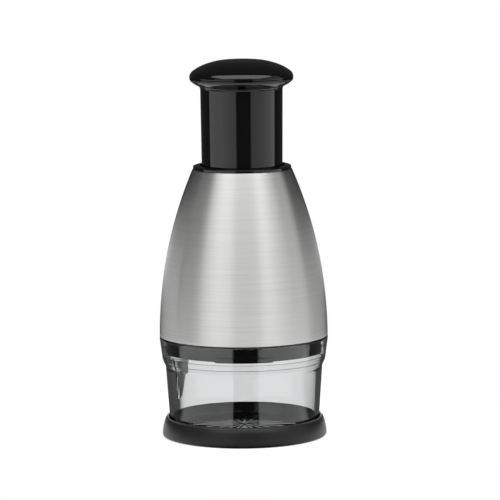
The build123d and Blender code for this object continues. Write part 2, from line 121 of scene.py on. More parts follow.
# Soft-touch TPE moulded over the base in a spark-eroded tool: dull, a little grey where light
# grazes it. The grain is 0.2 mm in the real tool and is drawn at 0.5 mm so that it shows.
softTpe, tree, shader, place = startMaterial("mouldedSoftTpe", {"IOR": 1.48, "Specular IOR Level": 0.54})
grain = addGrain(tree, place, 0.5)
handling = addGrain(tree, place, 11, (1, 1, 0.6), 3)
dress(tree, shader, handling, ("121213", "1a1a1b"), handling, (0.34, 0.42), grain, 0.012)

# SAN, clear and injection moulded: water-clear across the wall and smoky along it, since light
# that runs inside the wall is absorbed on its way.
clearSan, tree, shader, place = startMaterial("mouldedClearSan", {
    "Base Color": hexColour("fbfcfc"), "IOR": 1.57, "Transmission Weight": 1.0, "Roughness": 0.0})
flow = addGrain(tree, place, 16, (1, 1, 2.2), 1)
flowRelief = addNode(tree, "ShaderNodeBump", None, {"Height": flow, "Strength": 1.0, "Distance": 0.006 * mm})
tree.links.new(flowRelief.outputs[0], shader.inputs["Normal"])
murk = addNode(tree, "ShaderNodeVolumeAbsorption", None, {"Color": hexColour("b9bcbc"), "Density": 110.0})
tree.links.new(murk.outputs[0], tree.nodes["Material Output"].inputs["Volume"])

# Stainless sheet, spun to shape and brushed with an abrasive belt while it turns: fine lines run
# round the bell, so lamps smear up and down it and stay narrow across. The lines are about
# 0.05 mm apart in the metal and are drawn at 0.35 mm and 1.1 mm so that they show.
brushedSteel, tree, shader, place = startMaterial("brushedStainless", {
    "Metallic": 1.0, "Anisotropic": 1.0, "Anisotropic Rotation": 0.25})
fineLines = addGrain(tree, place, 0.35, (110, 110, 1), 3, 0.6)
wideLines = addGrain(tree, place, 1.1, (60, 60, 1), 2)
lines = addNode(tree, "ShaderNodeMix", {"data_type": "FLOAT"}, {0: 0.4, 2: fineLines, 3: wideLines})
lineTint = addNode(tree, "ShaderNodeMapRange", None, {"Value": lines, **noiseRange})
dress(tree, shader, lineTint, ("d9d9d8", "e9e9e8"), lines, (0.37, 0.44), lines, 0.003)
parts = addNode(tree, "ShaderNodeSeparateXYZ", None, (place,))
back = addNode(tree, "ShaderNodeMath", "MULTIPLY", (parts.outputs[1], -1.0))
around = addNode(tree, "ShaderNodeCombineXYZ", None, (back, parts.outputs[0]))
brushing = addNode(tree, "ShaderNodeVectorTransform",
                   {"vector_type": "VECTOR", "convert_from": "OBJECT", "convert_to": "WORLD"}, (around,))
tree.links.new(brushing.outputs[0], shader.inputs["Tangent"])

# ABS from a plain tool, for the parts inside: even and dull, with a little shine on its edges.
plainAbs, tree, shader, place = startMaterial("mouldedPlainAbs", {"IOR": 1.53})
grain = addGrain(tree, place, 0.8)
clouds = addGrain(tree, place, 13)
dress(tree, shader, clouds, ("1b1b1c", "232324"), grain, (0.36, 0.46), grain, 0.01)

# Zinc plated steel screws: bright and slightly blue, with cloudy patches from the bath.
zincSteel, tree, shader, place = startMaterial("zincPlatedSteel", {"Metallic": 1.0})
clouds = addGrain(tree, place, 1.2, (1, 1, 1), 3)
dress(tree, shader, clouds, ("9fa3a6", "c3c6c9"), clouds, (0.22, 0.38), clouds, 0.006)

# Natural acetal, turned and moulded bearings: milky, waxy and faintly see-through.
whiteAcetal, tree, shader, place = startMaterial("naturalAcetal", {
    "IOR": 1.48, "Subsurface Weight": 0.25, "Subsurface Radius": (0.0012, 0.001, 0.0008),
    "Subsurface Scale": 1.0})
wax = addGrain(tree, place, 3.5)
dress(tree, shader, wax, ("dcdbd2", "e9e8e0"), wax, (0.3, 0.42), wax, 0.01)

# Black acetal bush: satin from sliding on the tube.
blackAcetal, tree, shader, place = startMaterial("blackAcetal", {"IOR": 1.48})
rub = addGrain(tree, place, 0.6, (30, 30, 1))
dress(tree, shader, rub, ("101010", "171717"), rub, (0.28, 0.42), rub, 0.004)

# Moulded nitrile rubber: dead matt and slightly dusty.
nitrile, tree, shader, place = startMaterial("mouldedNitrile", {"IOR": 1.52, "Sheen Weight": 0.2})
dust = addGrain(tree, place, 1.5, (1, 1, 1), 4, 0.65)
dress(tree, shader, dust, ("1a1a1b", "262627"), dust, (0.7, 0.85), dust, 0.02)

# Drawn spring wire, oiled: grey steel whose die lines catch the light along the wire.
drawnWire, tree, shader, place = startMaterial("drawnSpringWire", {"Metallic": 1.0})
dieLines = addGrain(tree, place, 0.3, (12, 12, 1), 3)
dress(tree, shader, dieLines, ("77797b", "9b9da0"), dieLines, (0.24, 0.4), dieLines, 0.008)

# Steel rod ground between centres: almost a mirror, with fine rings round it.
groundSteel, tree, shader, place = startMaterial("groundSteelRod", {"Metallic": 1.0})
rings = addGrain(tree, place, 0.25, (40, 40, 1))
dress(tree, shader, rings, ("bfc1c4", "cfd1d3"), rings, (0.08, 0.16), rings, 0.001)

# Polypropylene carrier and wiper: grey, waxy, satin from a blasted tool. The 0.3 mm grain is drawn
# at 0.6 mm so that it shows.
greyPp, tree, shader, place = startMaterial("mouldedGreyPolypropylene", {"IOR": 1.49})
grain = addGrain(tree, place, 0.6)
clouds = addGrain(tree, place, 15, (1, 1, 1), 3)
dress(tree, shader, clouds, ("8f9193", "9b9d9f"), grain, (0.38, 0.5), grain, 0.012)

# Cold rolled stainless strip, folded and honed: bright, with the rolling grain upright and a
# polished edge at the bottom.
bladeSteel, tree, shader, place = startMaterial("rolledBladeStainless", {"Metallic": 1.0})
rolled = addGrain(tree, place, 0.3, (1, 1, 60), 3)
dress(tree, shader, rolled, ("bcbcbb", "d4d4d3"), rolled, (0.16, 0.26), rolled, 0.002)
print("materials made:", len(bpy.data.materials))


# Geometry Nodes trees. Each ends in Realize Instances and Set Material.
def startTree(name, sizes):
    tree = bpy.data.node_groups.new(name, "GeometryNodeTree")
    tree.interface.new_socket("Geometry", in_out="INPUT", socket_type="NodeSocketGeometry")
    for label, kind in sizes.items():
        tree.interface.new_socket(label, in_out="INPUT", socket_type="NodeSocket" + kind)
    tree.interface.new_socket("Finish", in_out="INPUT", socket_type="NodeSocketMaterial")
    tree.interface.new_socket("Geometry", in_out="OUTPUT", socket_type="NodeSocketGeometry")
    return tree, addNode(tree, "NodeGroupInput").outputs


def endTree(tree, given, shape):
    real = addNode(tree, "GeometryNodeRealizeInstances", None, (shape,))
    smooth = addNode(tree, "GeometryNodeSetShadeSmooth", None, (real,))
    dressed = addNode(tree, "GeometryNodeSetMaterial", None,
                      {"Geometry": smooth, "Material": given["Finish"]})
    addNode(tree, "NodeGroupOutput", None, (dressed,))


# Turns the outline it is given round the axis.
hubRadius = 20 * mm
latheTree, given = startTree("turnRoundAxis", {"Segments": "Int"})
outlineCurve = addNode(latheTree, "GeometryNodeMeshToCurve", None, (given["Geometry"],))
hub = addNode(latheTree, "GeometryNodeCurvePrimitiveCircle", None,
              {"Resolution": given["Segments"], "Radius": hubRadius})
swept = addNode(latheTree, "GeometryNodeCurveToMesh", None, {"Curve": hub, "Profile Curve": outlineCurve})
joined = addNode(latheTree, "GeometryNodeMergeByDistance", None, {0: swept, "Distance": 1e-6})
endTree(latheTree, given, joined)

# Repeats what it is given round the axis.
ringTree, given = startTree("repeatRoundAxis", {"Count": "Int", "First Angle": "Float"})
spots = addNode(ringTree, "GeometryNodePoints", None, {"Count": given["Count"]})
number = addNode(ringTree, "GeometryNodeInputIndex")
share = addNode(ringTree, "ShaderNodeMath", "DIVIDE", (number, given["Count"]))
turn = addNode(ringTree, "ShaderNodeMath", "MULTIPLY_ADD", (share, 2 * math.pi, given["First Angle"]))
facing = addNode(ringTree, "ShaderNodeCombineXYZ", None, {2: turn})
heading = addNode(ringTree, "FunctionNodeEulerToRotation", None, (facing,))
copies = addNode(ringTree, "GeometryNodeInstanceOnPoints", None,
                 {"Points": spots, "Instance": given["Geometry"], "Rotation": heading})
endTree(ringTree, given, copies)

# Winds a compression spring with one closed turn at each end.
coilTree, given = startTree("windSpring", {"Turns": "Float", "Steps": "Int", "Coil Radius": "Float",
                                           "Wire Radius": "Float", "Bottom": "Float", "Top": "Float"})
chain = addNode(coilTree, "GeometryNodeMeshLine", {"mode": "OFFSET"}, {"Count": given["Steps"]})
number = addNode(coilTree, "GeometryNodeInputIndex")
last = addNode(coilTree, "ShaderNodeMath", "SUBTRACT", (given["Steps"], 1.0))
share = addNode(coilTree, "ShaderNodeMath", "DIVIDE", (number, last))
wound = addNode(coilTree, "ShaderNodeMath", "MULTIPLY", (share, given["Turns"]))
angle = addNode(coilTree, "ShaderNodeMath", "MULTIPLY", (wound, 2 * math.pi))
across = addNode(coilTree, "ShaderNodeMath", "COSINE", (angle,))
along = addNode(coilTree, "ShaderNodeMath", "SINE", (angle,))
beforeLast = addNode(coilTree, "ShaderNodeMath", "SUBTRACT", (given["Turns"], 1.0))
closedPitch = addNode(coilTree, "ShaderNodeMath", "MULTIPLY", (given["Wire Radius"], 2.1))
startHeight = addNode(coilTree, "ShaderNodeMath", "ADD", (given["Bottom"], given["Wire Radius"]))
endHeight = addNode(coilTree, "ShaderNodeMath", "SUBTRACT", (given["Top"], given["Wire Radius"]))
openEnd = addNode(coilTree, "ShaderNodeMath", "SUBTRACT", (endHeight, closedPitch))
stretches = [(0.0, 1.0), (1.0, beforeLast), (beforeLast, given["Turns"])]
firstRise, openOnly, lastRise = [addNode(coilTree, "ShaderNodeMapRange", None, {
    "Value": wound, "From Min": start, "From Max": end, "To Min": 0.0, "To Max": closedPitch})
    for start, end in stretches]
openRise = addNode(coilTree, "ShaderNodeMapRange", None, {
    "Value": wound, "From Min": 1.0, "From Max": beforeLast, "To Min": startHeight, "To Max": openEnd})
risen = addNode(coilTree, "ShaderNodeMath", "ADD", (firstRise, openRise))
eased = addNode(coilTree, "ShaderNodeMath", "SUBTRACT", (risen, openOnly))
height = addNode(coilTree, "ShaderNodeMath", "ADD", (eased, lastRise))
unit = addNode(coilTree, "ShaderNodeCombineXYZ", None, (across, along))
sized = addNode(coilTree, "ShaderNodeVectorMath", "SCALE", {0: unit, "Scale": given["Coil Radius"]})
lift = addNode(coilTree, "ShaderNodeCombineXYZ", None, {2: height})
spot = addNode(coilTree, "ShaderNodeVectorMath", "ADD", (sized, lift))
laid = addNode(coilTree, "GeometryNodeSetPosition", None, {"Geometry": chain, "Position": spot})
line = addNode(coilTree, "GeometryNodeMeshToCurve", None, (laid,))
section = addNode(coilTree, "GeometryNodeCurvePrimitiveCircle", None,
                  {"Resolution": 12, "Radius": given["Wire Radius"]})
wire = addNode(coilTree, "GeometryNodeCurveToMesh", None,
               {"Curve": line, "Profile Curve": section, "Fill Caps": True})
endTree(coilTree, given, wire)

# Folds a strip along the line it is given and hones its lower edge.
foldTree, given = startTree("foldStrip", {"Thickness": "Float", "Height": "Float", "Bend Radius": "Float",
                                          "Honed": "Float", "Rows": "Int"})
foldLine = addNode(foldTree, "GeometryNodeMeshToCurve", None, (given["Geometry"],))
bent = addNode(foldTree, "GeometryNodeFilletCurve", {"mode": "POLY"},
               {"Curve": foldLine, "Count": 6, "Radius": given["Bend Radius"]})
strip = addNode(foldTree, "GeometryNodeCurvePrimitiveQuadrilateral", None,
                {"Width": given["Thickness"], "Height": given["Height"]})
rows = addNode(foldTree, "GeometryNodeSubdivideCurve", None, {"Curve": strip, "Cuts": given["Rows"]})
where = addNode(foldTree, "GeometryNodeInputPosition")
parts = addNode(foldTree, "ShaderNodeSeparateXYZ", None, (where,))
edgeHeight = addNode(foldTree, "ShaderNodeMath", "MULTIPLY", (given["Height"], 0.5))
honeStart = addNode(foldTree, "ShaderNodeMath", "SUBTRACT", (edgeHeight, given["Honed"]))
thinning = addNode(foldTree, "ShaderNodeMapRange", None, {
    "Value": parts.outputs[1], "From Min": honeStart, "From Max": edgeHeight, "To Min": 1.0, "To Max": 0.12})
narrowed = addNode(foldTree, "ShaderNodeMath", "MULTIPLY", (parts, thinning))
honed = addNode(foldTree, "ShaderNodeCombineXYZ", None, (narrowed, parts.outputs[1]))
edged = addNode(foldTree, "GeometryNodeSetPosition", None, {"Geometry": rows, "Position": honed})
folded = addNode(foldTree, "GeometryNodeCurveToMesh", None,
                 {"Curve": bent, "Profile Curve": edged, "Fill Caps": True})
endTree(foldTree, given, folded)
print("node trees made:", len(bpy.data.node_groups))


sharpAngle = math.radians(32)


def smoothByAngle(mesh):
    mesh.polygons.foreach_set("use_smooth", [True] * len(mesh.polygons))
    mesh.set_sharp_from_angle(angle=sharpAngle)


def faceOut(mesh):
    work = bmesh.new()
    work.from_mesh(mesh)
    bmesh.ops.remove_doubles(work, verts=work.verts, dist=1e-7)
    bmesh.ops.recalc_face_normals(work, faces=work.faces)
    work.to_mesh(mesh)
    work.free()


# Runs a tree on an object and keeps the outcome as a plain mesh.
def grow(obj, tree, values):
    grower = obj.modifiers.new("grow", "NODES")
    grower.node_group = tree
    for item in tree.interface.items_tree:
        if item.in_out == "INPUT" and item.name in values:
            grower[item.identifier] = values[item.name]
    graph = bpy.context.evaluated_depsgraph_get()
    mesh = bpy.data.meshes.new_from_object(obj.evaluated_get(graph))
    obj.modifiers.remove(grower)
    before = obj.data
    obj.data = mesh
    mesh.name = obj.name
    bpy.data.meshes.remove(before)
    faceOut(mesh)
    smoothByAngle(mesh)
    return obj


def newObject(name, mesh):
    obj = bpy.data.objects.new(name, mesh)
    scene.collection.objects.link(obj)
    return obj


def objectFrom(work, name):
    mesh = bpy.data.meshes.new(name)
    work.to_mesh(mesh)
    work.free()
    return newObject(name, mesh)


def lineObject(name, points, closed=True):
    mesh = bpy.data.meshes.new(name)
    edges = [(i, i + 1) for i in range(len(points) - 1)]
    if closed:
        edges.append((len(points) - 1, 0))
    mesh.from_pydata(points, edges, [])
    return newObject(name, mesh)


# Closed outline from corners in millimetres: (radius, height), or with a third number that rounds
# the corner. A point just past each rounding keeps the flat beside it flat.
def outline(*corners):
    spots = [Vector(c[:2]) for c in corners]
    points = []
    for i, c in enumerate(corners):
        at = spots[i]
        if len(c) < 3:
            points.append(at)
            continue
        toBefore = (spots[i - 1] - at).normalized()
        toAfter = (spots[(i + 1) % len(spots)] - at).normalized()
        half = toBefore.angle(toAfter) / 2
        reach = c[2] / math.tan(half)
        centre = at + (toBefore + toAfter).normalized() * c[2] / math.sin(half)
        start = at + toBefore * reach - centre
        end = at + toAfter * reach - centre
        points.append(centre + start + toBefore * 0.15 * c[2])
        points += [centre + start.slerp(end, k / 5) * c[2] for k in range(6)]
        points.append(centre + end + toAfter * 0.15 * c[2])
    return points


# Smooth line through a few points, leaving and arriving in given directions.
def smoothLine(spots, firstWay, lastWay, steps=9):
    spots = [Vector(s) for s in spots]
    ways = [(b - a).normalized() for a, b in zip(spots, spots[2:])]
    ways = [Vector(firstWay).normalized(), *ways, Vector(lastWay).normalized()]
    points = []
    for a, b, wayA, wayB in zip(spots, spots[1:], ways, ways[1:]):
        third = (b - a).length / 3
        points += interpolate_bezier(a, a + wayA * third, b - wayB * third, b, steps)[:-1]
    return [tuple(p) for p in [*points, spots[-1]]]


def turnPiece(name, points, finish, segments=224):
    raised = [(p[0] * mm - hubRadius, -p[1] * mm, 0) for p in points]
    return grow(lineObject(name, raised), latheTree, {"Segments": segments, "Finish": finish})


# Block with a side outline of (radius, height) points, width thick, its edges eased.
def sideBlock(name, points, width, ease):
    work = bmesh.new()
    face = work.faces.new([work.verts.new((r * mm, -width / 2 * mm, h * mm)) for r, h in points])
    grown = bmesh.ops.extrude_face_region(work, geom=[face])
    moved = [v for v in grown["geom"] if isinstance(v, bmesh.types.BMVert)]
    bmesh.ops.translate(work, verts=moved, vec=(0, width * mm, 0))
    bmesh.ops.recalc_face_normals(work, faces=work.faces)
    bmesh.ops.bevel(work, geom=work.edges, offset=ease * mm, segments=2, affect="EDGES", profile=0.5)
    return objectFrom(work, name)


# Piece of a ring: an outline of (radius, height) points swept through an arc centred on angle 0.
def arcBlock(name, points, degrees, steps):
    work = bmesh.new()
    rows = []
    for k in range(steps + 1):
        a = math.radians(degrees * (k / steps - 0.5))
        rows.append([work.verts.new((r * math.cos(a) * mm, r * math.sin(a) * mm, h * mm)) for r, h in points])
    for low, high in zip(rows, rows[1:]):
        for i in range(len(points)):
            j = (i + 1) % len(points)
            work.faces.new((low[i], low[j], high[j], high[i]))
    work.faces.new(rows[0])
    work.faces.new(rows[-1])
    bmesh.ops.recalc_face_normals(work, faces=work.faces)
    return objectFrom(work, name)


def repeatPiece(obj, count, firstDegrees, finish):
    return grow(obj, ringTree, {"Count": count, "First Angle": math.radians(firstDegrees), "Finish": finish})


def joinInto(obj, other):
    work = bmesh.new()
    work.from_mesh(obj.data)
    work.from_mesh(other.data)
    work.to_mesh(obj.data)
    work.free()
    bpy.data.objects.remove(other)
    smoothByAngle(obj.data)


def cutOrUnite(obj, others, operation):
    for other in others:
        tool = obj.modifiers.new("solid", "BOOLEAN")
        tool.operation = operation
        tool.object = other
        tool.solver = "EXACT"
        graph = bpy.context.evaluated_depsgraph_get()
        mesh = bpy.data.meshes.new_from_object(obj.evaluated_get(graph))
        obj.modifiers.remove(tool)
        obj.data = mesh
        bpy.data.objects.remove(other)
    smoothByAngle(obj.data)


def settle(obj, body, node):
    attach(obj, body)
    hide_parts(node)


# Smooth-shaded copy of a CAD node whose shape is already right.
def copyNode(node, name, body, slot, finish):
    mesh = nodes[node].data.copy()
    mesh.name = name
    work = bmesh.new()
    work.from_mesh(mesh)
    bmesh.ops.remove_doubles(work, verts=work.verts, dist=2e-6)
    work.to_mesh(mesh)
    work.free()
    mesh.materials.clear()
    mesh.materials.append(finish)
    if mesh.attributes.get("custom_normal"):
        mesh.attributes.remove(mesh.attributes["custom_normal"])
    smoothByAngle(mesh)
    settle(newObject(name, mesh), body, node)


# Base: soft skirt and foot, hard glossy tray, domed floor with radial ribs.
base = {
    "skirt": [(48.14, 0), (49.3, 0.45), (49.7, 1.5), (49.32, 5.4), (48.5, 8.9), (47.65, 11.05)],
    "lipHeight": 11.4, "trayRadius": 47.0, "boreRadius": 46.0, "trayFloor": 2.2, "trayTop": 12.2,
    "floorRadius": 41.8, "floorEdge": 5.7, "floorCrown": 6.0,
    "grooveRadius": 33.0, "grooveHalf": 0.36, "grooveFloor": 5.15,
    "ribCount": 20, "ribStart": (4.0, 0.6), "ribEnd": (31.0, 3.4), "ribFoot": 5.7, "ribTop": 6.5,
    "gateRadius": 1.0, "gateDepth": 0.4,
}
skirt = smoothLine(base["skirt"], (1, 0), (-0.35, 1))
softSkirt = turnPiece("softSkirt", [
    *skirt, (47.42, 11.3), (47.2, base["lipHeight"]), (base["trayRadius"], base["lipHeight"]),
    (base["trayRadius"], 1.0), (41.0, 1.0), (41.0, 0.25), (41.2, 0.0)], softTpe)
settle(softSkirt, "base", "base_grip")

glossTray = turnPiece("glossTray", outline(
    (0, base["trayFloor"]), (base["boreRadius"], base["trayFloor"], 0.5),
    (base["boreRadius"], base["trayTop"], 0.42), (base["trayRadius"], base["trayTop"], 0.42),
    (base["trayRadius"], 1.0), (0, 1.0)), polishedAbs)
settle(glossTray, "base", "base_tray")


def floorHeight(r):
    drop = base["floorCrown"] - base["floorEdge"]
    return base["floorCrown"] - drop * (r / base["floorRadius"]) ** 2


groove = base["grooveRadius"]
floorLine = [(r, floorHeight(r)) for r in (41.5, 38, 35, 33.6, 33.42)]
floorLine += [(groove + side * base["grooveHalf"], base["grooveFloor"]) for side in (1, -1)]
floorLine += [(r, floorHeight(r)) for r in (32.58, 32.4, 30, 24, 18, 12, 6, 1.3)]
ribbedFloor = turnPiece("ribbedFloor", [
    (0, base["trayFloor"]), (41.6, base["trayFloor"]), (base["floorRadius"], base["trayFloor"] + 0.2),
    (base["floorRadius"], base["floorEdge"] - 0.2), (41.7, base["floorEdge"] - 0.04), *floorLine,
    (base["gateRadius"], 5.94), (0.85, base["floorCrown"] - base["gateDepth"]),
    (0, base["floorCrown"] - base["gateDepth"])], polishedAbs)


# Ridge seen from above as a wedge that widens outwards, flat on top with eased edges.
def wedgeBlock(name, inner, outer, low, high):
    work = bmesh.new()
    rings = []
    section = [(1, 0), (0.97, 0.6), (0.92, 0.88), (0.82, 1), (-0.82, 1), (-0.92, 0.88), (-0.97, 0.6), (-1, 0)]
    for r, width in (inner, outer):
        rings.append([work.verts.new((r * mm, side * width / 2 * mm, (low + (high - low) * lift) * mm))
                      for side, lift in section])
    for k in range(len(section) - 1):
        work.faces.new((rings[0][k], rings[0][k + 1], rings[1][k + 1], rings[1][k]))
    work.faces.new((rings[0][0], rings[0][-1], rings[1][-1], rings[1][0]))
    work.faces.new(rings[0])
    work.faces.new(rings[1])
    bmesh.ops.recalc_face_normals(work, faces=work.faces)
    return objectFrom(work, name)


oneRib = wedgeBlock("floorRibs", base["ribStart"], base["ribEnd"], base["ribFoot"], base["ribTop"])
floorRibs = repeatPiece(oneRib, base["ribCount"], 0, polishedAbs)
joinInto(ribbedFloor, floorRibs)
settle(ribbedFloor, "base", "chopping_disc")
print("base made")

# Cup: one clear wall with a shoulder, a rib that guides the housing and three bayonet ledges.
cup = {
    "waist": (47.3, 42.0), "shoulder": (49.25, 47.4), "rim": (50.95, 60.2), "wall": 2.1, "rimRounding": 0.45,
    "outside": [(43.05, 2.25), (44.35, 2.25), (44.58, 2.33), (44.67, 2.55), (45.31, 12.2), (45.97, 22.1),
                (46.63, 32.0)],
    "inside": [(48.11, 49.9), (48.0, 49.8), (46.85, 49.8), (46.7, 49.68), (46.7, 46.9), (46.6, 46.62),
               (46.2, 46.4), (46.08, 46.1), (45.98, 44.8), (45.74, 43.4), (45.3, 42.2), (45.13, 41.0),
               (44.52, 31.8), (43.87, 22.0), (43.21, 12.1), (42.58, 2.7), (42.7, 2.37)],
    "ribSide": [(48.5, 50.9), (38.5, 50.9), (38.55, 42.7), (40.5, 40.5), (42.3, 29.0), (43.0, 25.8),
                (44.9, 25.8), (46.25, 42.0), (47.4, 47.4)],
    "ribWidth": 2.4, "ribEase": 0.3, "ribAngle": 210,
    "ledgeSide": [(46.9, 53.8), (49.0, 53.8), (49.0, 55.0), (46.9, 55.0)],
    "ledgeCount": 3, "ledgeArc": 42, "firstLedge": -90,
}
shoulderLine = smoothLine([cup["waist"], cup["shoulder"]], (0.07, 1), (0.2, 1), 14)
rimRadius, rimHeight = cup["rim"]
rimLine = outline((49.4, 48.5), (rimRadius, rimHeight, cup["rimRounding"]),
                  (rimRadius - cup["wall"], rimHeight, cup["rimRounding"]), (48.2, 50.9))[1:-1]
clearCup = turnPiece("clearCup", [*cup["outside"], *shoulderLine, *rimLine, *cup["inside"]], clearSan, 256)
oneRib = sideBlock("cupRibs", cup["ribSide"], cup["ribWidth"], cup["ribEase"])
cupRibs = repeatPiece(oneRib, 1, cup["ribAngle"], clearSan)
oneLedge = arcBlock("cupLedges", cup["ledgeSide"], cup["ledgeArc"], 28)
cupLedges = repeatPiece(oneLedge, cup["ledgeCount"], cup["firstLedge"], clearSan)
cutOrUnite(clearCup, [cupRibs, cupLedges], "UNION")
settle(clearCup, "container", "chopping_cup")
print("cup made")

# Bell: its side is one long arc, turned in at the top to a flange under the collar.
bell = {
    "arcRadius": 259.15, "arcCentre": -208.35, "arcHeight": 60.31,
    "bottom": 61.3, "top": 162.4, "thickness": 0.7, "holeRadius": 28.1,
}


def bellRadius(height, inset=0.0):
    rise = height - bell["arcHeight"]
    return bell["arcCentre"] + math.sqrt((bell["arcRadius"] - inset) ** 2 - rise ** 2)


def bellLine(low, high, inset, steps=44):
    heights = [low + (high - low) * k / steps for k in range(steps + 1)]
    return [(bellRadius(h, inset), h) for h in heights]


flangeUnder = bell["top"] - bell["thickness"]
creaseRadius = bellRadius(bell["top"] - 0.6)
steelBell = turnPiece("steelBell", [
    (bellRadius(bell["bottom"]) - 0.25, bell["bottom"]),
    (bellRadius(bell["bottom"]) - 0.06, bell["bottom"] + 0.06),
    *bellLine(bell["bottom"] + 0.25, bell["top"] - 0.6, 0),
    (creaseRadius - 0.17, bell["top"] - 0.28), (creaseRadius - 0.42, bell["top"] - 0.09),
    (creaseRadius - 0.8, bell["top"]), (creaseRadius - 1.0, bell["top"]),
    (bell["holeRadius"], bell["top"]), (bell["holeRadius"], flangeUnder),
    *reversed(bellLine(bell["bottom"], flangeUnder, bell["thickness"], 30))], brushedSteel, 256)
settle(steelBell, "housing", "steel_shell")

# Collar over the bell's hole, with the bush that the tube slides in.
collar = {
    "bore": 26.2, "neck": 28.0, "flange": 29.55, "bottom": 155.0, "flangeTop": 164.05, "bushStop": 163.3,
    "slope": [(28.4, 164.4), (25.9, 164.8, 0.4)], "lip": (25.6, 163.4, 0.1),
}
topCollar = turnPiece("topCollar", outline(
    (collar["bore"], collar["bottom"], 0.2), (collar["neck"], collar["bottom"], 0.2),
    (collar["neck"], bell["top"]), (collar["flange"], bell["top"], 0.15),
    (collar["flange"], collar["flangeTop"], 0.35), *collar["slope"], collar["lip"],
    (collar["bore"], collar["bushStop"])), polishedAbs)
settle(topCollar, "housing", "top_collar")
bush = {"bore": 25.1, "bottom": 160.2, "top": 163.25}
guideBush = turnPiece("guideBush", outline(
    (bush["bore"], bush["bottom"], 0.3), (collar["bore"], bush["bottom"], 0.1),
    (collar["bore"], bush["top"], 0.1), (bush["bore"], bush["top"], 0.3)), blackAcetal)
settle(guideBush, "housing", "guide_bush")
print("bell and collar made")

# Plunger: slightly tapered tube, bowl and dome of the knob, rod.
tube = {"bottom": 158.0, "foot": (24.3, 160.0), "head": (24.77, 210.7), "bore": 22.1, "flange": 25.85,
        "web": 2.6, "rodHole": 2.6}
tubeTop = tube["head"][1]
plungerTube = turnPiece("plungerTube", outline(
    (tube["bore"], tube["bottom"], 0.3), (tube["flange"], tube["bottom"], 0.3),
    (tube["flange"], tube["foot"][1], 0.3), tube["foot"], tube["head"], (tube["rodHole"], tubeTop),
    (tube["rodHole"], tubeTop - tube["web"]), (tube["bore"], tubeTop - tube["web"], 0.4)), polishedAbs)
settle(plungerTube, "plunger", "plunger_tube")

knob = {
    "bowl": [(25.1, 211.5), (28.3, 213.55), (30.5, 215.25), (31.24, 216.8)],
    "bowlFoot": [(24.8, 210.7), (25.0, 210.9)], "bowlInside": [(27.1, 215.2), (24.0, 213.0), (2.6, 213.0)],
    "dome": [(31.3, 217.9), (30.2, 220.4), (28.1, 222.1), (25.0, 223.9), (20.5, 225.68), (13.5, 227.38),
             (0, 228.15)],
    "domeInside": [(0, 225.75), (9.0, 225.25), (17.0, 223.6), (23.0, 221.4), (26.0, 219.0), (26.0, 215.9),
                   (27.2, 215.9), (28.3, 217.4)],
    "parting": 217.2,
}
bowlLine = smoothLine(knob["bowl"], (0.75, 1), (0.05, 1))
knobBowl = turnPiece("knobBowl", [
    (tube["rodHole"], tubeTop), *knob["bowlFoot"], *bowlLine, (31.22, 217.1), (31.07, knob["parting"]),
    (28.6, knob["parting"]), *knob["bowlInside"]], polishedAbs)
settle(knobBowl, "plunger", "knob_base")
domeLine = smoothLine(knob["dome"], (-0.02, 1), (-1, 0), 10)
knobDome = turnPiece("knobDome", [(31.09, 217.4), (31.25, 217.5), *domeLine, *knob["domeInside"]],
                     polishedAbs)
settle(knobDome, "plunger", "knob_cap")

# Rod: a groove for the clip, a shoulder for the carrier, and a thread for the nut at the top.
rod = {
    "radius": 3.0, "bottom": 102.7, "top": 220.0, "grooveRadius": 2.3, "groove": (103.0, 103.8),
    "shoulderRadius": 5.5, "shoulder": (106.1, 107.6), "step": 205.0, "crest": 2.5, "root": 2.25,
    "threadStart": 212.6, "pitch": 0.5, "threads": 14,
}
rodOutline = outline(
    (0, rod["bottom"]), (rod["radius"], rod["bottom"], 0.4), (rod["radius"], rod["groove"][0]),
    (rod["grooveRadius"], rod["groove"][0]), (rod["grooveRadius"], rod["groove"][1]),
    (rod["radius"], rod["groove"][1]), (rod["radius"], rod["shoulder"][0]),
    (rod["shoulderRadius"], rod["shoulder"][0], 0.2), (rod["shoulderRadius"], rod["shoulder"][1], 0.2),
    (rod["radius"], rod["shoulder"][1]), (rod["radius"], rod["step"], 0.3), (rod["crest"], rod["step"]),
    (rod["crest"], rod["threadStart"] - 0.1))
for k in range(rod["threads"]):
    low = rod["threadStart"] + rod["pitch"] * k
    rodOutline += [Vector((rod["crest"], low)), Vector((rod["root"], low + rod["pitch"] / 2))]
rodOutline += [Vector((2.4, rod["top"] - 0.2)), Vector((2.1, rod["top"])), Vector((0, rod["top"]))]
plungerRod = turnPiece("plungerRod", rodOutline, groundSteel, 64)
settle(plungerRod, "plunger", "plunger_rod")
print("plunger made")

# Spring that returns the knob, wound here at one length; on the object it shortens with the stroke.
spring = {"Turns": 11.0, "Steps": 440, "Coil Radius": 13 * mm, "Wire Radius": 0.9 * mm,
          "Bottom": 110.5 * mm, "Top": 205 * mm, "Finish": drawnWire}
returnSpring = grow(newObject("returnSpring", bpy.data.meshes.new("returnSpring")), coilTree, spring)
settle(returnSpring, "housing", "return_spring")
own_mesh(returnSpring)

# Blade: one strip folded six times, honed along its lower edge.
blade = {"folds": 6, "halfLength": 33.0, "halfWidth": 13.0, "tip": 53.5, "top": 103.2,
         "Thickness": 0.8 * mm, "Bend Radius": 1.2 * mm, "Honed": 1.5 * mm, "Rows": 33, "Finish": bladeSteel}
blade["Height"] = (blade["top"] - blade["tip"]) * mm
foldPoints = []
for fold in range(blade["folds"] + 1):
    side = 1 if fold % 2 == 0 else -1
    foldPoints.append(((2 * fold / blade["folds"] - 1) * blade["halfLength"] * mm,
                       side * blade["halfWidth"] * mm, (blade["tip"] + blade["top"]) / 2 * mm))
zigzagBlade = grow(lineObject("foldedBlade", foldPoints, False), foldTree, blade)
settle(zigzagBlade, "rotor", "zigzag_blade")
print("spring and blade made")

